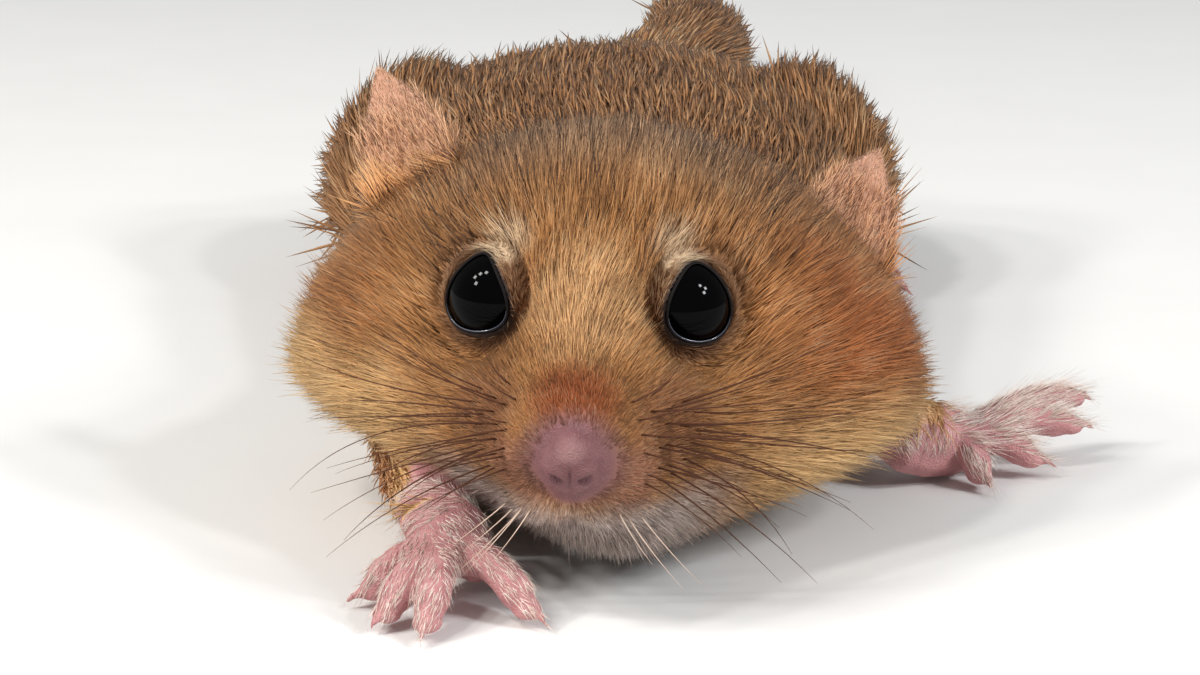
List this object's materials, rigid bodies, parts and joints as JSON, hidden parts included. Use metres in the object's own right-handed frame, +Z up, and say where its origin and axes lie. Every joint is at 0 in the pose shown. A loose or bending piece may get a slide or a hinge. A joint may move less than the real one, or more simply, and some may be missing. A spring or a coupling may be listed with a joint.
{
  "type": "hazel dormouse model",
  "caption": "Life-size still model of a hazel dormouse lying low on its belly, with a broad head, large dark eyes, spread forepaws and a bushy tail laid behind.",
  "frame": {"origin": "on the floor under the middle of the animal's box, tail included", "axes": "+Z up from the floor, the nose points along -Y and the tail lies along +Y, +X is the animal's left"},
  "size_m": [0.0392, 0.1352, 0.0191],
  "materials": {
    "coat": "short dense golden-brown fur, paler on cheeks, throat and belly, darker on the crown",
    "tail_coat": "bushy golden-brown fur",
    "ear": "thin pinkish skin with fine golden hair",
    "eye": "wet black gloss",
    "bare_skin": "soft pink skin with sparse white hair"
  },
  "bodies": {
    "root": {"head": "coat", "neck": "coat", "torso": "coat", "thigh_left": "coat", "thigh_right": "coat", "foreleg_left": "coat", "foreleg_right": "coat", "ear_left": "ear", "ear_right": "ear", "eye_left": "eye", "eye_right": "eye", "forefoot_left": "bare_skin", "forefoot_right": "bare_skin", "hindfoot_left": "bare_skin", "hindfoot_right": "bare_skin", "tail_1": "tail_coat", "tail_2": "tail_coat", "tail_3": "tail_coat", "tail_4": "tail_coat"}
  },
  "joints": []
}
